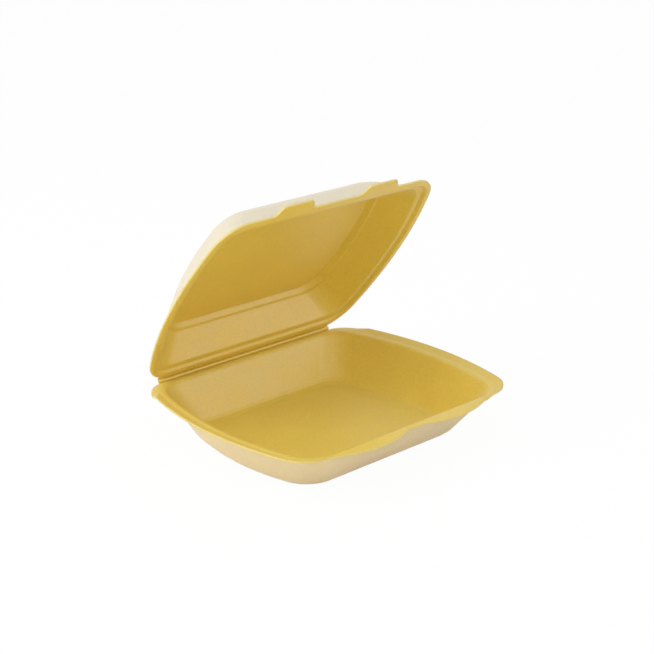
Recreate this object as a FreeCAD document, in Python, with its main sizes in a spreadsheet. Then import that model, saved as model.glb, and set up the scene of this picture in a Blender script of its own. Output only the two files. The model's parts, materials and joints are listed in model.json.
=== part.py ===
import FreeCAD, Part
import Sketcher
import math
import os

# Foam clamshell container: one thermoformed foam sheet, with a tray, a narrow hinge strip
# between two creases and a lid with two lock tabs. Shown as in the photo, part open.
# Millimetres. Origin at the centre of the tray's flat underside, +Z up, hinge at the back (+Y).
# Depths are measured from a crease towards the free front edge.

doc = FreeCAD.newDocument("foam_clamshell")
sheet = doc.addObject("Spreadsheet::Sheet", "sizes")
SIZES = [
    ("foam_thickness", 2.2, "floor, wall and panel sheet"),
    ("wall_run", 2.6, "horizontal thickness of the sloped walls"),
    ("rim_thickness", 1.6, "pressed rim and hinge"),
    ("turn_front", 15, "degrees the bowed side turns before the front corner"),
    ("turn_rear", 17, "degrees the bowed side turns before the rear corner"),
    ("tray_rim_width", 250, "across the raised side lips"),
    ("tray_rim_depth", 195, "crease to the front edge between the lobes"),
    ("tray_rim_front_radius", 28, ""),
    ("tray_rim_rear_radius", 28, ""),
    ("tray_height", 38, "underside to the top of the flat rim"),
    ("tray_rim_side", 13, "rim edge to the mouth, on the sides"),
    ("tray_mouth_rear", 4.9, ""),
    ("tray_rim_front", 6, "front edge to the mouth"),
    ("tray_corner_radius", 24, "inside corners of the tray's walls, the same at every level"),
    ("tray_side_lean", 20.5, "mouth to the underside before its edge is softened, on the sides"),
    ("tray_base_rear", 22, ""),
    ("tray_front_lean", 24, ""),
    ("tray_edge_radius", 9, "soft edge of the underside"),
    ("tray_floor_radius", 7, "soft edge of the floor inside"),
    ("tray_mouth_softness", 5, "radius of the soft edge round the tray's mouth"),
    ("ledge_width", 6, "mouth to the foot of the raised lip, on the sides"),
    ("ledge_rear", 1.2, ""),
    ("ledge_front", 2, "front edge to the foot of the lip"),
    ("lip_rise", 2.2, "outer edge of the side lip above the ledge"),
    ("lip_rear", 27, "depth where the lip is at full height"),
    ("lip_rear_ramp", 11, "run over which it falls to the flat rim"),
    ("lip_front_inset", 37, "side edge to where the lip starts to fall at the front"),
    ("lip_front_ramp", 8, ""),
    ("lobe_spacing", 86, "between the middles of the front lobes"),
    ("lobe_reach", 7.5, "beyond the front edge"),
    ("lobe_radius", 78, ""),
    ("lobe_blend", 22, "hollow rounding at the lobe ends"),
    ("hinge_inset", 33, "side edge of the tray to the end of the hinge"),
    ("hinge_pitch", 4.8, "between the two creases"),
    ("crease_gap", 0.15, "half the slit left at a crease"),
    ("bead_radius", 0.5, "rounded bead on the strip"),
    ("crease_bend", 62.7, "degrees each crease is bent up from flat in the photo"),
    ("lid_rim_width", 242, ""),
    ("lid_rim_depth", 188.5, ""),
    ("lid_rim_front_radius", 28, ""),
    ("lid_rim_rear_radius", 34, ""),
    ("lid_rim_side", 5, "rim edge to the step, on the sides"),
    ("lid_mouth_rear", 8, ""),
    ("lid_rim_front", 6.5, ""),
    ("lid_corner_radius", 20, "inside corners of the lid, the same at every level"),
    ("lid_softening", 0.8, "edge of the rim above the step"),
    ("lid_step_drop", 2.7, ""),
    ("lid_step_run", 1.2, ""),
    ("lid_ledge_width", 4.3, "between the step and the wall"),
    ("lid_ledge_drop", 0.3, ""),
    ("lid_shoulder_depth", 23.5, "rim to the foot of the walls"),
    ("lid_side_lean", 23.8, "step to the foot of the wall, on the sides"),
    ("lid_rear_lean", 18, ""),
    ("lid_front_lean", 17, ""),
    ("shoulder_ledge", 2, "small ledge at the foot of the walls"),
    ("shoulder_ledge_drop", 0.6, ""),
    ("lid_panel_depth", 28.5, "rim to the top panel"),
    ("lid_band_side", 5.2, "foot of the wall to the panel, on the sides"),
    ("lid_band_end", 4.5, "the same at the rear and the front"),
    ("shoulder_run", 1.8, "outside shoulder beyond the inside one"),
    ("shoulder_drop", 1.4, ""),
    ("panel_run", 0.8, "outside panel edge beyond the inside one"),
    ("tab_spacing", 87, "between the middles of the lock tabs"),
    ("tab_base", 39, ""),
    ("tab_tip", 28, ""),
    ("tab_reach", 9.5, ""),
    ("tab_rounding", 3.5, ""),
]
for row, (alias, number, note) in enumerate(SIZES, start=1):
    sheet.set("A%d" % row, alias)
    sheet.set("B%d" % row, str(number))
    sheet.set("C%d" % row, note)
    sheet.setAlias("B%d" % row, alias)
doc.recompute()


def S(alias):
    return "sizes." + alias


def num(expression):
    value = sheet.evalExpression(expression)
    return float(getattr(value, "Value", value))


def bind(thing, path, expression):
    thing.setExpression(path, expression)


def plane(body, role):
    for item in body.Origin.OriginFeatures:
        if item.Role == role:
            return item


def new_body(label):
    body = doc.addObject("PartDesign::Body", label)
    body.Label = label
    return body


def new_sketch(body, label, role, base=("0", "0", "0"), turn=None):
    """A sketch on an origin plane, moved by expressions along the plane's own axes."""
    sketch = body.newObject("Sketcher::SketchObject", label)
    sketch.AttachmentSupport = [(plane(body, role), "")]
    sketch.MapMode = "FlatFace"
    spot = FreeCAD.Vector(*[num(item) for item in base])
    spin = FreeCAD.Rotation(FreeCAD.Vector(0, 1, 0), num(turn) if turn else 0)
    sketch.AttachmentOffset = FreeCAD.Placement(spot, spin)
    for axis, item in zip("xyz", base):
        bind(sketch, "AttachmentOffset.Base." + axis, item)
    if turn:
        bind(sketch, "AttachmentOffset.Rotation.Angle", turn)
    return sketch


def limit(sketch, constraint, expression):
    index = sketch.addConstraint(constraint)
    bind(sketch, "Constraints[%d]" % index, expression)


def offset(outline, out):
    """The same outline moved outwards by an expression."""
    width, rear, front, front_radius, rear_radius = outline
    return (
        "(%s) + 2 * (%s)" % (width, out),
        "(%s) - (%s)" % (rear, out),
        "(%s) + (%s)" % (front, out),
        "(%s) + (%s)" % (front_radius, out),
        "(%s) + (%s)" % (rear_radius, out),
    )


def cornered(outline, radius):
    """The same outline with one radius at all its corners."""
    return outline[:3] + (radius, radius)


def between(low, high, share):
    """Outline part way from one to another."""
    return tuple("(%s) + ((%s) - (%s)) * (%s)" % (a, b, a, share) for a, b in zip(low, high))


def side_radius(outline):
    """Radius of the bowed side that meets both corner arcs at the set turns."""
    width, rear, front, front_radius, rear_radius = outline
    front_share = "(%s) * (1 - sin(sizes.turn_front * 1deg))" % front_radius
    rear_share = "(%s) * (1 - sin(sizes.turn_rear * 1deg))" % rear_radius
    top = "((%s) - (%s) - %s - %s)" % (front, rear, front_share, rear_share)
    return top + " / (sin(sizes.turn_front * 1deg) + sin(sizes.turn_rear * 1deg))"


def side_middle(outline):
    """Depth of the widest place."""
    width, rear, front, front_radius, rear_radius = outline
    return "(%s) + (%s) + (%s - (%s)) * sin(sizes.turn_rear * 1deg)" % (
        rear, rear_radius, side_radius(outline), rear_radius)


def outline_numbers(outline):
    """Numbers for the first drawing of an outline: arc centres, radii and joints on the right."""
    width, rear, front, rf, rr = [num(item) for item in outline]
    big = num(side_radius(outline))
    middle = num(side_middle(outline))
    af = math.radians(num(S("turn_front")))
    ar = math.radians(num(S("turn_rear")))
    cx = width / 2 - big
    return dict(
        rear=rear, front=front, rf=rf, rr=rr, big=big, middle=middle, af=af, ar=ar, cx=cx,
        xf=cx + (big - rf) * math.cos(af), xr=cx + (big - rr) * math.cos(ar))


def arc(cx, cy, radius, start, end, way):
    """Arc in depth coordinates; way is -1 where depth runs towards -Y."""
    if way < 0:
        start, end = -end, -start
    circle = Part.Circle(FreeCAD.Vector(cx, way * cy, 0), FreeCAD.Vector(0, 0, 1), radius)
    return Part.ArcOfCircle(circle, start, end)


def line(ax, ay, bx, by):
    return Part.LineSegment(FreeCAD.Vector(ax, ay, 0), FreeCAD.Vector(bx, by, 0))


def ends(sketch, index):
    """Both end points of an edge with their numbers."""
    return [(sketch.getPoint(index, pos), pos) for pos in (1, 2)]


def join(sketch, a, b, smooth=True):
    """Ties the ends of two edges that meet, smoothly or only by the point."""
    near = min(((pa - pb).Length, ia, ib) for pa, ia in ends(sketch, a) for pb, ib in ends(sketch, b))
    kind = "Tangent" if smooth else "Coincident"
    sketch.addConstraint(Sketcher.Constraint(kind, a, near[1], b, near[2]))


def depth_limit(sketch, edge, pos, way, expression):
    if way > 0:
        limit(sketch, Sketcher.Constraint("DistanceY", -1, 1, edge, pos, num(expression)), expression)
    else:
        limit(sketch, Sketcher.Constraint("DistanceY", edge, pos, -1, 1, num(expression)), expression)


def draw_outline(body, label, outline, way, level, crease):
    """Closed outline: straight rear and front, bowed sides, four corner arcs, all tangent."""
    width, rear, front, front_radius, rear_radius = outline
    n = outline_numbers(outline)
    sketch = new_sketch(body, label, "XY_Plane", ("0", crease, level))
    q = math.pi / 2
    add = sketch.addGeometry
    edges = [
        add(line(-n["xr"], way * n["rear"], n["xr"], way * n["rear"])),
        add(arc(n["xr"], n["rear"] + n["rr"], n["rr"], -q, -n["ar"], way)),
        add(arc(n["cx"], n["middle"], n["big"], -n["ar"], n["af"], way)),
        add(arc(n["xf"], n["front"] - n["rf"], n["rf"], n["af"], q, way)),
        add(line(n["xf"], way * n["front"], -n["xf"], way * n["front"])),
        add(arc(-n["xf"], n["front"] - n["rf"], n["rf"], q, math.pi - n["af"], way)),
        add(arc(-n["cx"], n["middle"], n["big"], math.pi - n["af"], math.pi + n["ar"], way)),
        add(arc(-n["xr"], n["rear"] + n["rr"], n["rr"], math.pi + n["ar"], 3 * q, way)),
    ]
    for a, b in zip(edges, edges[1:] + edges[:1]):
        join(sketch, a, b)
    sketch.addConstraint(Sketcher.Constraint("Horizontal", edges[0]))
    sketch.addConstraint(Sketcher.Constraint("Horizontal", edges[4]))
    depth_limit(sketch, edges[0], 1, way, rear)
    depth_limit(sketch, edges[4], 1, way, front)
    for edge in (edges[1], edges[7]):
        limit(sketch, Sketcher.Constraint("Radius", edge, n["rr"]), rear_radius)
    for edge in (edges[3], edges[5]):
        limit(sketch, Sketcher.Constraint("Radius", edge, n["rf"]), front_radius)
    reach = "%s - (%s) / 2" % (side_radius(outline), width)
    for edge, first, second in ((edges[2], (edges[2], 3), (-1, 1)), (edges[6], (-1, 1), (edges[6], 3))):
        limit(sketch, Sketcher.Constraint("Radius", edge, n["big"]), side_radius(outline))
        limit(sketch, Sketcher.Constraint("DistanceX", *first, *second, -n["cx"]), reach)
        depth_limit(sketch, edge, 3, way, side_middle(outline))
    return sketch


def pad(body, label, sketch, length, back=False, both=False, cut=False):
    kind = "PartDesign::Pocket" if cut else "PartDesign::Pad"
    feature = body.newObject(kind, label)
    feature.Profile = sketch
    bind(feature, "Length", length)
    feature.Reversed = back
    if both:
        feature.Midplane = True
    return feature


def loft(body, label, first, others, cut=False):
    feature = body.newObject("PartDesign::SubtractiveLoft" if cut else "PartDesign::AdditiveLoft", label)
    feature.Profile = first
    feature.Sections = others
    feature.Ruled = True
    return feature


def round_edges(body, label, test, radius):
    """Fillet on the edges of the body's newest shape that pass a test."""
    doc.recompute()
    tip = body.Tip
    names = ["Edge%d" % i for i, edge in enumerate(tip.Shape.Edges, start=1) if test(edge)]
    feature = body.newObject("PartDesign::Fillet", label)
    feature.Base = (tip, names)
    bind(feature, "Radius", radius)
    doc.recompute()
    return feature


def flat_at(level, edge, slack=0.01):
    box = edge.BoundBox
    return abs(box.ZMin - level) < slack and abs(box.ZMax - level) < slack


def polygon(sketch, points, limits):
    """Closed polygon with each corner tied to the sketch's origin by expressions."""
    count = len(points)
    edges = []
    for i in range(count):
        ax, ay = points[i]
        bx, by = points[(i + 1) % count]
        edges.append(sketch.addGeometry(line(ax, ay, bx, by)))
    for i in range(count):
        sketch.addConstraint(Sketcher.Constraint("Coincident", edges[i], 2, edges[(i + 1) % count], 1))
    for edge, (ex, ey) in zip(edges, limits):
        for kind, expression in (("DistanceX", ex), ("DistanceY", ey)):
            value = num(expression)
            if abs(value) < 1e-9:
                same = "Vertical" if kind == "DistanceX" else "Horizontal"
                sketch.addConstraint(Sketcher.Constraint(same, edge, 1, -1, 1))
            elif value > 0:
                limit(sketch, Sketcher.Constraint(kind, -1, 1, edge, 1, value), expression)
            else:
                limit(sketch, Sketcher.Constraint(kind, edge, 1, -1, 1, -value), "-(%s)" % expression)
    return edges


def shape(body, label, role, base, limits, turn=None):
    sketch = new_sketch(body, label, role, base, turn)
    polygon(sketch, [(num(ex), num(ey)) for ex, ey in limits], limits)
    return sketch


# Outlines: width, rear depth, front depth, front corner radius, rear corner radius
TRAY_RIM = (S("tray_rim_width"), S("crease_gap"), S("tray_rim_depth"),
            S("tray_rim_front_radius"), S("tray_rim_rear_radius"))
MOUTH_WIDTH = "sizes.tray_rim_width - 2 * sizes.tray_rim_side"
MOUTH_FRONT = "sizes.tray_rim_depth - sizes.tray_rim_front"
BASE_WIDTH = MOUTH_WIDTH + " - 2 * sizes.tray_side_lean"
BASE_FRONT = MOUTH_FRONT + " - sizes.tray_front_lean"
BASE_RADIUS = "sizes.tray_corner_radius + sizes.wall_run"
TRAY_MOUTH = (MOUTH_WIDTH, S("tray_mouth_rear"), MOUTH_FRONT,
              S("tray_corner_radius"), S("tray_corner_radius"))
TRAY_BASE = (BASE_WIDTH, S("tray_base_rear"), BASE_FRONT, BASE_RADIUS, BASE_RADIUS)
TRAY_LEDGE = (MOUTH_WIDTH + " + 2 * sizes.ledge_width", S("ledge_rear"),
              "sizes.tray_rim_depth - sizes.ledge_front",
              S("tray_rim_front_radius"), S("tray_rim_rear_radius"))
LIP_FRONT = "(sizes.tray_rim_width / 2 - sizes.lip_front_inset)"
HINGE_LENGTH = "sizes.tray_rim_width - 2 * sizes.hinge_inset"
LID_RIM = (S("lid_rim_width"), S("crease_gap"), S("lid_rim_depth"),
           S("lid_rim_front_radius"), S("lid_rim_rear_radius"))
LID_RADIUS = S("lid_corner_radius")
LID_MOUTH_WIDTH = "sizes.lid_rim_width - 2 * sizes.lid_rim_side"
LID_MOUTH_FRONT = "sizes.lid_rim_depth - sizes.lid_rim_front"
SHOULDER_WIDTH = LID_MOUTH_WIDTH + " - 2 * sizes.lid_side_lean"
SHOULDER_REAR = "sizes.lid_mouth_rear + sizes.lid_rear_lean"
SHOULDER_FRONT = LID_MOUTH_FRONT + " - sizes.lid_front_lean"
LID_MOUTH = (LID_MOUTH_WIDTH, S("lid_mouth_rear"), LID_MOUTH_FRONT, LID_RADIUS, LID_RADIUS)
LID_SHOULDER = (SHOULDER_WIDTH, SHOULDER_REAR, SHOULDER_FRONT, LID_RADIUS, LID_RADIUS)
LID_PANEL = (SHOULDER_WIDTH + " - 2 * sizes.lid_band_side", SHOULDER_REAR + " + sizes.lid_band_end",
             SHOULDER_FRONT + " - sizes.lid_band_end", LID_RADIUS, LID_RADIUS)
CREASE_Y = "(sizes.tray_base_rear + %s) / 2" % BASE_FRONT
CREASE_Z = "sizes.tray_height - sizes.rim_thickness"
TRAY_TOP = S("tray_height")
TOWARDS_FRONT = -1
AWAY = 1


def bevel(body, way, crease, level):
    """The 45 degree face along a crease that lets it close to a right angle."""
    run = "sizes.rim_thickness + 2"
    sketch = shape(body, "crease_bevel_outline", "YZ_Plane", (crease, level, "0"), [
        ("%d * sizes.crease_gap" % way, "0"),
        ("%d * (sizes.crease_gap + %s)" % (way, run), run),
        ("%d * 3" % -way, run),
        ("%d * 3" % -way, "0"),
    ])
    return pad(body, "crease_bevel", sketch, "%s + 40" % HINGE_LENGTH, both=True, cut=True)


def stack(body, label, way, crease, levels, cut=False):
    """Ruled walls through a stack of outlines, given from the top down."""
    drawn = []
    for number, (outline, level) in enumerate(levels, start=1):
        drawn.append(draw_outline(body, "%s_outline_%d" % (label, number), outline, way, level, crease))
    return loft(body, label, drawn[0], drawn[1:], cut)


# Points of a soft edge between a flat floor and a wall that leans 30 degrees, as shares of its radius
FOOT_IN = math.tan(math.radians(30))
MIDDLE_IN = FOOT_IN - math.sin(math.radians(30))
MIDDLE_UP = 1 - math.cos(math.radians(30))
TOP_UP = 1 - math.cos(math.radians(60))


def soft_foot(wall_foot, wall_top, rise, floor, radius):
    """Levels of a soft edge on a floor, from the top down, under walls that rise to wall_top."""
    top = between(wall_foot, wall_top, "%f * %s / (%s)" % (TOP_UP, radius, rise))
    middle = cornered(offset(wall_foot, "-%f * %s" % (MIDDLE_IN, radius)), wall_foot[3])
    foot = cornered(offset(wall_foot, "-%f * %s" % (FOOT_IN, radius)), wall_foot[3])
    return [
        (top, "%s + %f * %s" % (floor, TOP_UP, radius)),
        (middle, "%s + %f * %s" % (floor, MIDDLE_UP, radius)),
        (foot, floor),
    ]


def soft_mouth(mouth, foot, rise, top, radius):
    """Levels of a soft edge where a flat rim turns down into a wall, from the top down."""
    outer = cornered(offset(mouth, "%f * %s" % (FOOT_IN, radius)), mouth[3])
    middle = cornered(offset(mouth, "%f * %s" % (MIDDLE_IN, radius)), mouth[3])
    lower = between(mouth, foot, "%f * %s / (%s)" % (TOP_UP, radius, rise))
    return [
        (outer, top),
        (middle, "%s - %f * %s" % (top, MIDDLE_UP, radius)),
        (lower, "%s - %f * %s" % (top, TOP_UP, radius)),
    ]


# Tray: solid outside first, then the rim, then the cavity
tray = new_body("tray")
TRAY_WALL = offset(TRAY_MOUTH, S("wall_run"))
stack(tray, "tray_outside", TOWARDS_FRONT, CREASE_Y,
      [(TRAY_WALL, TRAY_TOP)] + soft_foot(TRAY_BASE, TRAY_WALL, TRAY_TOP, "0", S("tray_edge_radius")))


def draw_rear_part(body, label, outline, way, level, crease, until):
    """Rear end of an outline, closed by a straight line at a depth."""
    width, rear, front, front_radius, rear_radius = outline
    n = outline_numbers(outline)
    sketch = new_sketch(body, label, "XY_Plane", ("0", crease, level))
    q = math.pi / 2
    stop = math.asin((n["middle"] - num(until)) / n["big"])
    cut_x = n["cx"] + n["big"] * math.cos(stop)
    add = sketch.addGeometry
    edges = [
        add(line(-n["xr"], way * n["rear"], n["xr"], way * n["rear"])),
        add(arc(n["xr"], n["rear"] + n["rr"], n["rr"], -q, -n["ar"], way)),
        add(arc(n["cx"], n["middle"], n["big"], -n["ar"], -stop, way)),
        add(line(cut_x, way * num(until), -cut_x, way * num(until))),
        add(arc(-n["cx"], n["middle"], n["big"], math.pi + stop, math.pi + n["ar"], way)),
        add(arc(-n["xr"], n["rear"] + n["rr"], n["rr"], math.pi + n["ar"], 3 * q, way)),
    ]
    corners = ((0, 1, True), (1, 2, True), (2, 3, False), (3, 4, False), (4, 5, True), (5, 0, True))
    for a, b, smooth in corners:
        join(sketch, edges[a], edges[b], smooth)
    sketch.addConstraint(Sketcher.Constraint("Horizontal", edges[0]))
    sketch.addConstraint(Sketcher.Constraint("Horizontal", edges[3]))
    depth_limit(sketch, edges[0], 1, way, rear)
    depth_limit(sketch, edges[3], 1, way, until)
    for edge in (edges[1], edges[5]):
        limit(sketch, Sketcher.Constraint("Radius", edge, n["rr"]), rear_radius)
    reach = "%s - (%s) / 2" % (side_radius(outline), width)
    for edge, first, second in ((edges[2], (edges[2], 3), (-1, 1)), (edges[4], (-1, 1), (edges[4], 3))):
        limit(sketch, Sketcher.Constraint("Radius", edge, n["big"]), side_radius(outline))
        limit(sketch, Sketcher.Constraint("DistanceX", *first, *second, -n["cx"]), reach)
        depth_limit(sketch, edge, 3, way, side_middle(outline))
    return sketch


# Flat rim at the back and along the front; under the side lips it rises on short ramps
FRONT_Y = CREASE_Y + " - sizes.tray_rim_depth"
BLOCK_HEIGHT = "sizes.rim_thickness + sizes.lip_rise"
FRONT_BLOCK = "6"

# How far the cutting outlines run past a ramp, a lip, the crease, an edge and the sides
PAST_RAMP = "1"
PAST_LIP = "3"
PAST_CREASE = "4"
PAST_EDGE = "2"
PAST_SIDES = "20"
FRONT_CUT_BEHIND = "7"
FRONT_CUT_LENGTH = "30"
# How deep a lobe or a tab is rooted in its rim
ROOT = 2
rear_end = draw_rear_part(tray, "rear_rim_outline", TRAY_RIM, TOWARDS_FRONT, CREASE_Z, CREASE_Y,
                          S("lip_rear"))
pad(tray, "rear_rim", rear_end, BLOCK_HEIGHT)
block = shape(tray, "front_rim_outline", "XY_Plane", ("0", FRONT_Y, CREASE_Z), [
    ("-" + LIP_FRONT, "0"), (LIP_FRONT, "0"), (LIP_FRONT, FRONT_BLOCK), ("-" + LIP_FRONT, FRONT_BLOCK)])
pad(tray, "front_rim", block, BLOCK_HEIGHT)
rear_past = "-(sizes.lip_rear + %s)" % PAST_RAMP
rear_under = shape(tray, "rear_under_ramp_outline", "YZ_Plane", (CREASE_Y, CREASE_Z, "0"), [
    ("-(sizes.lip_rear - sizes.lip_rear_ramp)", "0"),
    (rear_past, "sizes.lip_rise * (1 + %s / sizes.lip_rear_ramp)" % PAST_RAMP),
    (rear_past, "0")])
pad(tray, "rear_under_ramp", rear_under, "sizes.tray_rim_width + " + PAST_SIDES, both=True, cut=True)
for side in (-1, 1):
    behind_block = "-(%s) - %s" % (FRONT_Y, FRONT_BLOCK)
    front_past = "%d * (%s + %s)" % (side, LIP_FRONT, PAST_RAMP)
    front_under = shape(tray, "front_under_ramp_outline", "XZ_Plane", ("0", CREASE_Z, behind_block), [
        ("%d * (%s - sizes.lip_front_ramp)" % (side, LIP_FRONT), "0"),
        (front_past, "sizes.lip_rise * (1 + %s / sizes.lip_front_ramp)" % PAST_RAMP),
        (front_past, "0")])
    pad(tray, "front_under_ramp", front_under, FRONT_BLOCK + " + " + PAST_EDGE, back=True, cut=True)

# Raised lip: its underside and its top are ruled from the ledge up to the outer edge
LIP_LEVEL = CREASE_Z + " + sizes.lip_rise"
low = draw_outline(tray, "lip_foot_outline", TRAY_LEDGE, TOWARDS_FRONT, CREASE_Z, CREASE_Y)
high = draw_outline(tray, "lip_edge_outline", TRAY_RIM, TOWARDS_FRONT, LIP_LEVEL, CREASE_Y)
loft(tray, "lip_underside", high, [low])
edge = draw_outline(tray, "rim_edge_outline", TRAY_RIM, TOWARDS_FRONT, LIP_LEVEL, CREASE_Y)
pad(tray, "rim_edge", edge, S("rim_thickness"))
OVERRUN = "1.25"
foot = draw_outline(tray, "ledge_outline", TRAY_LEDGE, TOWARDS_FRONT, TRAY_TOP, CREASE_Y)
beyond = draw_outline(tray, "lip_slope_outline", between(TRAY_LEDGE, TRAY_RIM, OVERRUN), TOWARDS_FRONT,
                      "%s + %s * sizes.lip_rise" % (TRAY_TOP, OVERRUN), CREASE_Y)
loft(tray, "lip_slope", beyond, [foot], cut=True)

above_lip = "sizes.lip_rise + " + PAST_LIP
rear_end_past = "sizes.lip_rear_ramp / sizes.lip_rise * " + PAST_LIP
rear_ramp = shape(tray, "rear_ramp_outline", "YZ_Plane", (CREASE_Y, TRAY_TOP, "0"), [
    (PAST_CREASE, "0"), (PAST_CREASE, above_lip),
    ("-(sizes.lip_rear + %s)" % rear_end_past, above_lip),
    ("-(sizes.lip_rear - sizes.lip_rear_ramp)", "0")])
pad(tray, "rear_ramp", rear_ramp, "sizes.tray_rim_width + " + PAST_SIDES, both=True, cut=True)
ramp_end = LIP_FRONT + " + sizes.lip_front_ramp / sizes.lip_rise * " + PAST_LIP
front_cut = "-(%s) - %s" % (FRONT_Y, FRONT_CUT_BEHIND)
front_ramp = shape(tray, "front_ramp_outline", "XZ_Plane", ("0", TRAY_TOP, front_cut), [
    ("-(%s - sizes.lip_front_ramp)" % LIP_FRONT, "0"), (LIP_FRONT + " - sizes.lip_front_ramp", "0"),
    (ramp_end, above_lip), ("-(%s)" % ramp_end, above_lip)])
pad(tray, "front_ramp", front_ramp, FRONT_CUT_LENGTH, back=True, cut=True)

# Front lobes: a round nose with hollow blends into the front edge
for side in (-1, 1):
    lobe_place = ("%d * sizes.lobe_spacing / 2" % side, CREASE_Y, CREASE_Z)
    lobes = new_sketch(tray, "lobe_outline", "XY_Plane", lobe_place)
    nose = num(S("lobe_radius"))
    hollow = num(S("lobe_blend"))
    reach = num(S("lobe_reach"))
    edge_y = -num(S("tray_rim_depth"))
    spread = math.sqrt((nose + hollow) ** 2 - (nose + hollow - reach) ** 2)
    swing = math.asin(spread / (nose + hollow))
    down = -math.pi / 2
    inner = edge_y + ROOT
    nose_circle = Part.Circle(FreeCAD.Vector(0, edge_y - reach + nose, 0), FreeCAD.Vector(0, 0, 1), nose)
    left_circle = Part.Circle(FreeCAD.Vector(-spread, edge_y - hollow, 0), FreeCAD.Vector(0, 0, 1), hollow)
    right_circle = Part.Circle(FreeCAD.Vector(spread, edge_y - hollow, 0), FreeCAD.Vector(0, 0, 1), hollow)
    quarter = math.pi / 2
    e = [
        lobes.addGeometry(Part.ArcOfCircle(nose_circle, down - swing, down + swing)),
        lobes.addGeometry(Part.ArcOfCircle(right_circle, quarter, quarter + swing)),
        lobes.addGeometry(line(spread, edge_y, spread, inner)),
        lobes.addGeometry(line(spread, inner, -spread, inner)),
        lobes.addGeometry(line(-spread, inner, -spread, edge_y)),
        lobes.addGeometry(Part.ArcOfCircle(left_circle, quarter - swing, quarter)),
    ]
    corners = ((0, 1, True), (1, 2, False), (2, 3, False), (3, 4, False), (4, 5, False), (5, 0, True))
    for a, b, smooth in corners:
        join(lobes, e[a], e[b], smooth)
    for k, kind in ((2, "Vertical"), (3, "Horizontal"), (4, "Vertical")):
        lobes.addConstraint(Sketcher.Constraint(kind, e[k]))
    limit(lobes, Sketcher.Constraint("Radius", e[0], nose), S("lobe_radius"))
    limit(lobes, Sketcher.Constraint("Radius", e[1], hollow), S("lobe_blend"))
    limit(lobes, Sketcher.Constraint("Radius", e[5], hollow), S("lobe_blend"))
    lobes.addConstraint(Sketcher.Constraint("PointOnObject", e[0], 3, -2))
    limit(lobes, Sketcher.Constraint("DistanceY", e[0], 3, -1, 1, -(edge_y - reach + nose)),
          "sizes.tray_rim_depth + sizes.lobe_reach - sizes.lobe_radius")
    for k in (1, 5):
        limit(lobes, Sketcher.Constraint("DistanceY", e[k], 3, -1, 1, -edge_y + hollow),
              "sizes.tray_rim_depth + sizes.lobe_blend")
    lobes.addConstraint(Sketcher.Constraint("Vertical", e[2], 1, e[1], 3))
    lobes.addConstraint(Sketcher.Constraint("Vertical", e[4], 2, e[5], 3))
    limit(lobes, Sketcher.Constraint("DistanceY", e[3], 1, -1, 1, -inner), "sizes.tray_rim_depth - %d" % ROOT)
    pad(tray, "front_lobe", lobes, S("rim_thickness"))

# Cavity, with a soft edge round its floor and round its mouth
SHARE = "sizes.foam_thickness / sizes.tray_height"
TRAY_FLOOR = offset(between(TRAY_BASE, TRAY_WALL, SHARE), "-sizes.wall_run")
INNER_RISE = "sizes.tray_height - sizes.foam_thickness"
stack(tray, "tray_cavity", TOWARDS_FRONT, CREASE_Y,
      soft_mouth(TRAY_MOUTH, TRAY_FLOOR, INNER_RISE, TRAY_TOP, S("tray_mouth_softness"))
      + soft_foot(TRAY_FLOOR, TRAY_MOUTH, INNER_RISE, S("foam_thickness"), S("tray_floor_radius")), cut=True)
bevel(tray, TOWARDS_FRONT, CREASE_Y, CREASE_Z)

# Hinge strip: a bead with 45 degree flanks, between the two creases
strip = new_body("hinge_strip")
TOP_EDGE = "sizes.crease_gap + sizes.rim_thickness"
section = shape(strip, "strip_outline", "YZ_Plane", ("0", "0", "0"), [
    ("sizes.crease_gap", "0"), ("sizes.hinge_pitch - sizes.crease_gap", "0"),
    ("sizes.hinge_pitch - sizes.crease_gap - sizes.rim_thickness", "sizes.rim_thickness"),
    (TOP_EDGE, "sizes.rim_thickness")])
pad(strip, "strip", section, HINGE_LENGTH, both=True)
round_edges(strip, "bead_rounding",
            lambda e: flat_at(num(S("rim_thickness")), e) and e.BoundBox.XLength > num(S("hinge_pitch")),
            S("bead_radius"))

# Lid: modelled in its own frame as if opened flat, rim level, crease on the X axis
lid = new_body("lid")
RIM_TOP = S("rim_thickness")
LID_OUTER_RADIUS = "sizes.lid_corner_radius + sizes.wall_run"
STEP_FOOT = cornered(offset(LID_MOUTH, "-sizes.lid_step_run"), LID_RADIUS)
LEDGE_EDGE = cornered(offset(LID_MOUTH, "-(sizes.lid_step_run + sizes.lid_ledge_width)"), LID_RADIUS)
SHOULDER_EDGE = cornered(offset(LID_SHOULDER, "-sizes.shoulder_ledge"), LID_RADIUS)
STEP_Z = "sizes.rim_thickness - sizes.lid_step_drop"
LEDGE_Z = STEP_Z + " - sizes.lid_ledge_drop"
STEP_OUT = cornered(offset(STEP_FOOT, S("foam_thickness")), LID_OUTER_RADIUS)
LEDGE_OUT = cornered(offset(LEDGE_EDGE, S("wall_run")), LID_OUTER_RADIUS)
LID_WALL = offset(LID_MOUTH, S("wall_run"))
SHOULDER_OUT = cornered(offset(LID_SHOULDER, S("shoulder_run")), LID_OUTER_RADIUS)
PANEL_OUT = cornered(offset(LID_PANEL, S("panel_run")), LID_OUTER_RADIUS)
SHOULDER_Z = "sizes.rim_thickness - sizes.lid_shoulder_depth"
PANEL_Z = "sizes.rim_thickness - sizes.lid_panel_depth"
stack(lid, "lid_outside", AWAY, "0", [
    (LID_WALL, RIM_TOP),
    (STEP_OUT, STEP_Z + " - 0.8 * sizes.foam_thickness"),
    (LEDGE_OUT, LEDGE_Z + " - sizes.foam_thickness"),
    (SHOULDER_OUT, SHOULDER_Z + " - sizes.shoulder_drop"),
    (PANEL_OUT, PANEL_Z + " - sizes.foam_thickness")])
rim = draw_outline(lid, "lid_rim_outline", LID_RIM, AWAY, "0", "0")
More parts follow.
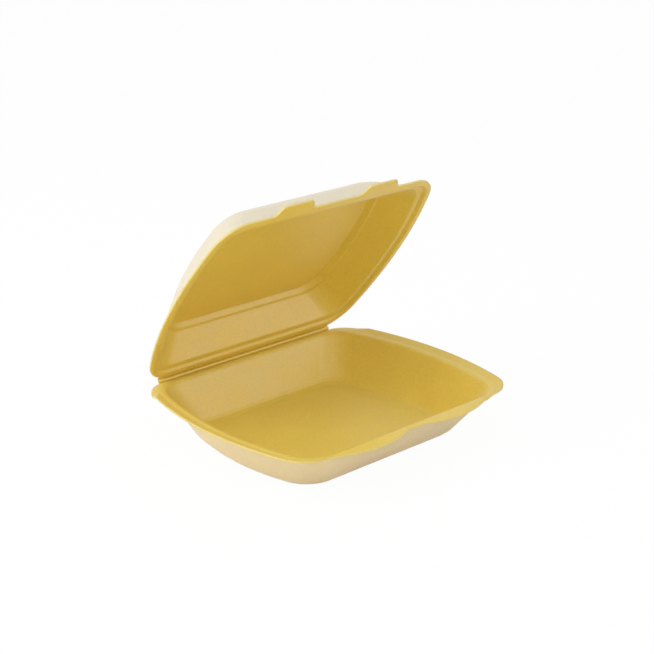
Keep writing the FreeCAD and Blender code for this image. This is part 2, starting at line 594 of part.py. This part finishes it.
pad(lid, "lid_rim", rim, S("rim_thickness"))

# Two lock tabs reach past the front edge
tab_root = "-%d" % ROOT
for side in (-1, 1):
    tab_place = ("%d * sizes.tab_spacing / 2" % side, S("lid_rim_depth"), "0")
    tab = shape(lid, "tab_outline", "XY_Plane", tab_place, [
        ("-sizes.tab_base / 2", tab_root), ("sizes.tab_base / 2", tab_root), ("sizes.tab_base / 2", "0"),
        ("sizes.tab_tip / 2", S("tab_reach")), ("-sizes.tab_tip / 2", S("tab_reach")),
        ("-sizes.tab_base / 2", "0")])
    pad(lid, "lock_tab", tab, S("rim_thickness"))
tab_y = (num(S("lid_rim_depth")), num(S("lid_rim_depth")) + num(S("tab_reach")))


def upright_at(edge, depths):
    box = edge.BoundBox
    upright = box.XLength < 0.01 and box.YLength < 0.01 and box.ZLength > 1
    return upright and any(abs(box.YMin - depth) < 0.05 for depth in depths)


half_rim = num(S("tab_spacing")) / 2 + num(S("tab_base")) / 2 + 1
round_edges(lid, "tab_rounding", lambda e: upright_at(e, tab_y) and abs(e.BoundBox.XMin) < half_rim,
            S("tab_rounding"))

# Lid cavity: a step and a ledge under the rim, the walls, a small ledge, a sloped band and the panel
MOUTH_OPEN = cornered(offset(LID_MOUTH, S("lid_softening")), LID_RADIUS)
stack(lid, "lid_cavity", AWAY, "0", [
    (MOUTH_OPEN, RIM_TOP),
    (LID_MOUTH, RIM_TOP + " - sizes.lid_softening"),
    (STEP_FOOT, STEP_Z),
    (LEDGE_EDGE, LEDGE_Z),
    (LID_SHOULDER, SHOULDER_Z),
    (SHOULDER_EDGE, SHOULDER_Z + " - sizes.shoulder_ledge_drop"),
    (LID_PANEL, PANEL_Z)], cut=True)
bevel(lid, AWAY, "0", "0")

# The photo's pose: each crease bent up by the same angle
BEND = S("crease_bend")
bind(strip, "Placement.Base.y", CREASE_Y)
bind(strip, "Placement.Base.z", CREASE_Z)
bind(lid, "Placement.Base.y", "%s + sizes.hinge_pitch * cos(%s * 1deg)" % (CREASE_Y, BEND))
bind(lid, "Placement.Base.z", "%s + sizes.hinge_pitch * sin(%s * 1deg)" % (CREASE_Z, BEND))
for body, turns in ((strip, 1), (lid, 2)):
    body.Placement.Rotation = FreeCAD.Rotation(FreeCAD.Vector(1, 0, 0), turns * num(BEND))
    bind(body, "Placement.Rotation.Angle", "%d * %s" % (turns, BEND))
doc.recompute()

os.makedirs("parts", exist_ok=True)
for item in doc.Objects:
    if "Invalid" in item.State or "Error" in item.State:
        raise RuntimeError("%s is %s" % (item.Label, item.State))
for body in (tray, strip, lid):
    solid = body.Shape
    if solid.isNull() or not solid.isValid() or len(solid.Solids) != 1:
        raise RuntimeError("%s is not one valid solid" % body.Label)
    solid.exportStep("parts/%s.step" % body.Label)
    print(body.Label, round(solid.Volume), "mm3", [round(v, 1) for v in (
        solid.BoundBox.XMin, solid.BoundBox.XMax, solid.BoundBox.YMin, solid.BoundBox.YMax,
        solid.BoundBox.ZMin, solid.BoundBox.ZMax)])
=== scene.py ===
import json
import math

import bmesh
import bpy
from mathutils import Matrix, Vector


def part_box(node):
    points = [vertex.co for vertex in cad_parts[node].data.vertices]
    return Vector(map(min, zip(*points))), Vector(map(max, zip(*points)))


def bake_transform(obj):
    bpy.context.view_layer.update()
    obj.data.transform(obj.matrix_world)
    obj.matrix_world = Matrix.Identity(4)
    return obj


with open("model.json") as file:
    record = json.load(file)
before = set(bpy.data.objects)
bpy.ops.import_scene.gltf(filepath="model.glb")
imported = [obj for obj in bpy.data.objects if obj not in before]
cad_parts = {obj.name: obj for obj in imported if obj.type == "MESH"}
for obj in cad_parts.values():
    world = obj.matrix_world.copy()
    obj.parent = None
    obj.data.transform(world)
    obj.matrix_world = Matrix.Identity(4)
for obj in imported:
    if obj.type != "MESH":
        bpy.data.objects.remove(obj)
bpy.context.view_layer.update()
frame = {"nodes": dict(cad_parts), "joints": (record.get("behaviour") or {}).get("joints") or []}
MM = 0.001
UP = Vector((0, 0, 1))

# Colours of the foam sheet: golden skin inside (paler in the tray, a painted sheen), cream skin outside
# (paler on the lid, a painted sheen), the cut edge between them, and a dark gold painted as shade in the
# folds
GOLD = (226, 197, 78)
# Paler gold of the tray's inside: painted sheen on the same golden skin as the lid's
GOLD_WITH_PAINTED_SHEEN = (223, 197, 87)
CREAM = (229, 207, 152)
# Paler cream of the lid's outside: painted sheen on the same cream skin as the tray's
CREAM_WITH_PAINTED_SHEEN = (219, 209, 183)
EDGE = (228, 206, 120)
# Dark gold painted as shade at the bottom of the folds and on the strip's cut edges
PAINTED_FOLD_SHADE = (190, 146, 44)

# Edges look this round, less so on the narrow strip
SOFT_EDGE = 2.3 * MM
STRIP_SOFT_EDGE = 0.8 * MM

# How squarely a face looks inward, from -1 to 1: the change between the skins, and what counts as a cut edge
SKIN_CHANGE = (-0.05, 0.05)
EDGE_CHANGE = (0.12, 0.2)

# Patterns in the foam, with scales in repeats per metre
NOISE_SPAN = (0.3, 0.7)
CLOUD_SCALE = 38.0
CLOUD_TONES = (0.97, 1.02)
FLECK_SCALE = 760.0
FLECK_TONES = (0.95, 1.05)
SWELL_SCALE = 60.0
SWELL_STRENGTH = 0.08
SWELL_DEPTH = 1.2 * MM
CELL_SCALE = 900.0
CELL_STRENGTH = 0.16
CELL_DEPTH = 0.25 * MM
BLOTCH_SCALE = 260.0

# How the foam takes light, and how far red, green and blue light pass through it
ROUGHNESS = (0.4, 0.48)
SPECULAR = 0.5
SHEEN = 0.1
GLOW = 0.4
GLOW_REACH = (3.0 * MM, 2.4 * MM, 1.2 * MM)


def linear(colour):
    """The linear value of an sRGB colour in 0 to 255."""
    out = []
    for part in colour:
        share = part / 255
        out.append(share / 12.92 if share <= 0.04045 else ((share + 0.055) / 1.055) ** 2.4)
    return (*out, 1)


def blank(owner):
    """The emptied node tree of a material or a world."""
    owner.use_nodes = True
    owner.node_tree.nodes.clear()
    return owner.node_tree


def node(tree, kind, inputs=(), **facts):
    """A shader node with its facts set, and its inputs given as (name, value or socket) pairs."""
    made = tree.nodes.new(kind)
    for name, value in facts.items():
        setattr(made, name, value)
    for name, value in inputs:
        if isinstance(value, bpy.types.NodeSocket):
            tree.links.new(value, made.inputs[name])
        else:
            made.inputs[name].default_value = value
    return made


def maths(tree, operation, *values):
    """One or two values put through an operation."""
    return node(tree, "ShaderNodeMath", enumerate(values), operation=operation).outputs["Value"]


def mix(tree, factor, first, second, blend="MIX"):
    """The colour that lies between two, by a factor."""
    inputs = [(0, factor), (6, first), (7, second)]
    return node(tree, "ShaderNodeMix", inputs, data_type="RGBA", blend_type=blend).outputs[2]


def ramp(tree, value, low, high, to_low=0.0, to_high=1.0):
    """A value carried from one range to another and held at its ends."""
    ends = [("From Min", low), ("From Max", high), ("To Min", to_low), ("To Max", to_high)]
    return node(tree, "ShaderNodeMapRange", [("Value", value), *ends], clamp=True).outputs["Result"]


def noise(tree, point, scale, detail):
    """A cloudy pattern through the object."""
    made = node(tree, "ShaderNodeTexNoise", [("Vector", point), ("Scale", scale), ("Detail", detail)])
    return made.outputs["Fac"]


def raised(tree, normal, height, strength, depth):
    """The normal of a surface that a pattern raises."""
    inputs = [("Height", height), ("Normal", normal), ("Strength", strength), ("Distance", depth)]
    return node(tree, "ShaderNodeBump", inputs).outputs["Normal"]


def finish_tree(tree, kind, surface):
    """The tree's output takes the surface."""
    tree.links.new(surface, node(tree, kind).inputs["Surface"])


def foam(name, inward, within=GOLD, outside=CREAM, cut=EDGE, softness=SOFT_EDGE):
    """Moulded foam sheet: one skin where it looks inward, another where it looks out, and the cut edges."""
    material = bpy.data.materials.new(name)
    tree = blank(material)
    place = node(tree, "ShaderNodeTexCoord")
    point = place.outputs["Object"]
    ways = [(0, place.outputs["Normal"]), (1, tuple(inward))]
    facing = node(tree, "ShaderNodeVectorMath", ways, operation="DOT_PRODUCT").outputs["Value"]
    inside = ramp(tree, facing, *SKIN_CHANGE)
    edge = ramp(tree, maths(tree, "ABSOLUTE", facing), *EDGE_CHANGE, 1.0, 0.0)
    skin = mix(tree, inside, linear(outside), linear(within))
    skin = mix(tree, edge, skin, linear(cut))

    cloud = noise(tree, point, CLOUD_SCALE, 3.0)
    fleck = noise(tree, point, FLECK_SCALE, 2.0)
    tone = ramp(tree, cloud, *NOISE_SPAN, *CLOUD_TONES)
    fine = ramp(tree, fleck, *NOISE_SPAN, *FLECK_TONES)
    both = maths(tree, "MULTIPLY", tone, fine)
    shade = node(tree, "ShaderNodeCombineColor", [(channel, both) for channel in ("Red", "Green", "Blue")])
    skin = mix(tree, 1.0, skin, shade.outputs["Color"], "MULTIPLY")

    normal = node(tree, "ShaderNodeBevel", [("Radius", softness)], samples=8).outputs["Normal"]
    normal = raised(tree, normal, noise(tree, point, SWELL_SCALE, 2.0), SWELL_STRENGTH, SWELL_DEPTH)
    inputs = [("Vector", point), ("Scale", CELL_SCALE)]
    cells = node(tree, "ShaderNodeTexVoronoi", inputs, feature="SMOOTH_F1")
    normal = raised(tree, normal, cells.outputs["Distance"], CELL_STRENGTH, CELL_DEPTH)

    facts = [
        ("Base Color", skin),
        ("Roughness", ramp(tree, cloud, *NOISE_SPAN, *ROUGHNESS)),
        ("Normal", normal),
        ("Specular IOR Level", SPECULAR),
        ("Sheen Weight", SHEEN),
        ("Subsurface Weight", GLOW),
        ("Subsurface Radius", GLOW_REACH),
        ("Subsurface Scale", 1.0),
    ]
    shader = node(tree, "ShaderNodeBsdfPrincipled", facts)
    finish_tree(tree, "ShaderNodeOutputMaterial", shader.outputs["BSDF"])
    return material


def painted_fold_shade(name):
    """Painted shade at the bottom of a fold, in blotches of the dark fold-shade gold and the cut edge's
    colour.
    """
    material = foam(name, UP, cut=PAINTED_FOLD_SHADE, softness=STRIP_SOFT_EDGE)
    tree = material.node_tree
    shader = next(item for item in tree.nodes if item.type == "BSDF_PRINCIPLED")
    point = next(item for item in tree.nodes if item.type == "TEX_COORD").outputs["Object"]
    share = ramp(tree, noise(tree, point, BLOTCH_SCALE, 3.0), *NOISE_SPAN)
    tree.links.new(mix(tree, share, linear(PAINTED_FOLD_SHADE), linear(EDGE)), shader.inputs["Base Color"])
    return material


def give(obj, material):
    """The object's every slot takes the material."""
    if not obj.material_slots:
        obj.data.materials.append(material)
    for slot in obj.material_slots:
        slot.material = material


# The two folds, read from the joints: the tray's and the lid's
folds = {joint["name"]: Vector(joint["pos_m"]) for joint in frame["joints"]}
tray_fold = folds["tray_crease"]
lid_fold = folds["lid_crease"]
strip_way = (lid_fold - tray_fold).normalized()
bend = math.atan2(strip_way.z, strip_way.y)


def turned(vector, angle):
    """The vector turned about the folds, from the tray's plane towards the lid's."""
    return Matrix.Rotation(angle, 3, "X") @ vector


tray_way = Vector((0, 1, 0))
lid_way = turned(tray_way, 2 * bend)
# The tray's inside takes the gold with painted sheen
give(frame["nodes"]["tray"], foam("tray_foam", UP, within=GOLD_WITH_PAINTED_SHEEN))
# The strip's cut edges take the dark gold painted as shade
give(frame["nodes"]["hinge_strip"], foam("strip_foam", turned(UP, bend), cut=PAINTED_FOLD_SHADE, softness=STRIP_SOFT_EDGE))
# The lid's outside takes the cream with painted sheen
give(frame["nodes"]["lid"], foam("lid_foam", turned(UP, 2 * bend), outside=CREAM_WITH_PAINTED_SHEEN))

# The web in a fold: its reach to each side, the steps along it and across it, its place inside the hinge
# line, its thickness, and the cosine that limits its mitre
FILM_REACH = 1.1 * MM
FILM_STEPS = 4
FILM_COLUMNS = 24
FILM_DEPTH = 0.05 * MM
FILM_THICKNESS = 0.3 * MM
LEAST_COSINE = 0.5
half_length = (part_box("hinge_strip")[1][0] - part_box("hinge_strip")[0][0]) / 2


def film(name, fold, before, after):
    """The thin web left at the bottom of a fold, which joins the two walls it lies between."""
    inner_before = turned(before, math.pi / 2)
    inner_after = turned(after, math.pi / 2)
    middle = (inner_before + inner_after).normalized()
    stretch = 1 / max(LEAST_COSINE, middle.dot(inner_before))
    shares = [step / FILM_STEPS for step in range(FILM_STEPS, 0, -1)]
    line = [(fold - before * (FILM_REACH * share), inner_before) for share in shares]
    line.append((fold, middle * stretch))
    line += [(fold + after * (FILM_REACH * share), inner_after) for share in reversed(shares)]
    mesh = bpy.data.meshes.new(name)
    build = bmesh.new()
    rings = []
    for column in range(FILM_COLUMNS + 1):
        across = Vector((half_length * (2 * column / FILM_COLUMNS - 1), 0, 0))
        low = [at + across + side * FILM_DEPTH for at, side in line]
        high = [at + across + side * (FILM_DEPTH + FILM_THICKNESS) for at, side in reversed(line)]
        rings.append([build.verts.new(corner) for corner in low + high])
    count = len(rings[0])
    for left, right in zip(rings, rings[1:]):
        for index in range(count):
            following = (index + 1) % count
            build.faces.new((left[index], right[index], right[following], left[following]))
    build.faces.new(rings[0][::-1])
    build.faces.new(rings[-1])
    bmesh.ops.recalc_face_normals(build, faces=build.faces)
    build.to_mesh(mesh)
    build.free()
    piece = bpy.data.objects.new(name, mesh)
    bpy.context.scene.collection.objects.link(piece)
    # The web takes the dark gold painted as shade, in blotches with the cut edge's colour
    give(piece, painted_fold_shade(name + "_foam"))
    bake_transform(piece)


film("tray_fold_web", tray_fold, tray_way, strip_way)
film("lid_fold_web", lid_fold, strip_way, lid_way)

# Floor, surround and lamps
FLOOR_SIZE = 6.0
FLOOR_SHADOW = 0.04
FLOOR_GREY = 0.9
AMBIENT = 0.66
LAMP_SIZE = 1.2
CENTRE = (0.0, 0.0, 0.06)


def seen_by(tree, *rays):
    """1 for the named kinds of ray and 0 for the rest."""
    path = node(tree, "ShaderNodeLightPath")
    share = path.outputs[rays[0]]
    for ray in rays[1:]:
        share = maths(tree, "MAXIMUM", share, path.outputs[ray])
    return share


def white_stage(name):
    """A white floor that keeps a faint shadow of what stands on it."""
    mesh = bpy.data.meshes.new(name)
    reach = FLOOR_SIZE / 2
    corners = [(-reach, -reach, 0), (reach, -reach, 0), (reach, reach, 0), (-reach, reach, 0)]
    mesh.from_pydata(corners, [], [(0, 1, 2, 3)])
    floor = bpy.data.objects.new(name, mesh)
    bpy.context.scene.collection.objects.link(floor)
    material = bpy.data.materials.new(name + "_white")
    tree = blank(material)
    matte = node(tree, "ShaderNodeBsdfDiffuse", [("Color", (FLOOR_GREY, FLOOR_GREY, FLOOR_GREY, 1))])
    glow = node(tree, "ShaderNodeEmission", [("Color", (1, 1, 1, 1)), ("Strength", 1.0)])
    share = maths(tree, "MULTIPLY", seen_by(tree, "Is Camera Ray", "Is Glossy Ray"), 1 - FLOOR_SHADOW)
    inputs = [(0, share), (1, matte.outputs["BSDF"]), (2, glow.outputs["Emission"])]
    both = node(tree, "ShaderNodeMixShader", inputs)
    finish_tree(tree, "ShaderNodeOutputMaterial", both.outputs["Shader"])
    give(floor, material)


def white_surround(name):
    """A white surround, at full white where the camera or a glossy or clear surface sees it."""
    world = bpy.data.worlds.new(name)
    bpy.context.scene.world = world
    tree = blank(world)
    seen = seen_by(tree, "Is Camera Ray", "Is Transmission Ray", "Is Glossy Ray")
    strength = ramp(tree, seen, 0.0, 1.0, AMBIENT, 1.0)
    back = node(tree, "ShaderNodeBackground", [("Color", (1, 1, 1, 1)), ("Strength", strength)])
    finish_tree(tree, "ShaderNodeOutputWorld", back.outputs["Background"])


def panel(name, place, power, only_gloss=False):
    """A soft square lamp that looks at the object, or one that shows only in its gloss."""
    data = bpy.data.lights.new(name, "AREA")
    data.shape = "SQUARE"
    data.size = LAMP_SIZE
    data.energy = power
    lamp = bpy.data.objects.new(name, data)
    lamp.visible_diffuse = not only_gloss
    lamp.location = place
    lamp.rotation_euler = (Vector(CENTRE) - Vector(place)).to_track_quat("-Z", "Y").to_euler()
    bpy.context.scene.collection.objects.link(lamp)


white_stage("floor")
white_surround("surround")
panel("key", (-1.3, 0.4, 0.95), 14.5)
panel("front", (-0.2, -1.2, 1.3), 5.0)
panel("sheen", (1.1, -1.3, 0.62), 14.0, only_gloss=True)

# The camera stands where the photograph was taken from
CAMERA_PLACE = (-0.78538, -0.843, 0.52118)
CAMERA_TURN = (69.432, -0.475, -42.9)
FOCAL_PIXELS = 1575.2
FRAME_PIXELS = 654
SENSOR = 36.0
FARTHEST_SEEN = 50
lens = bpy.data.cameras.new("camera")
lens.sensor_width = SENSOR
lens.sensor_height = SENSOR
lens.lens = FOCAL_PIXELS * SENSOR / FRAME_PIXELS
lens.clip_end = FARTHEST_SEEN
camera = bpy.data.objects.new("camera", lens)
camera.location = CAMERA_PLACE
camera.rotation_euler = [math.radians(angle) for angle in CAMERA_TURN]
bpy.context.scene.collection.objects.link(camera)
bpy.context.scene.camera = camera
bpy.context.scene.view_settings.view_transform = "Standard"
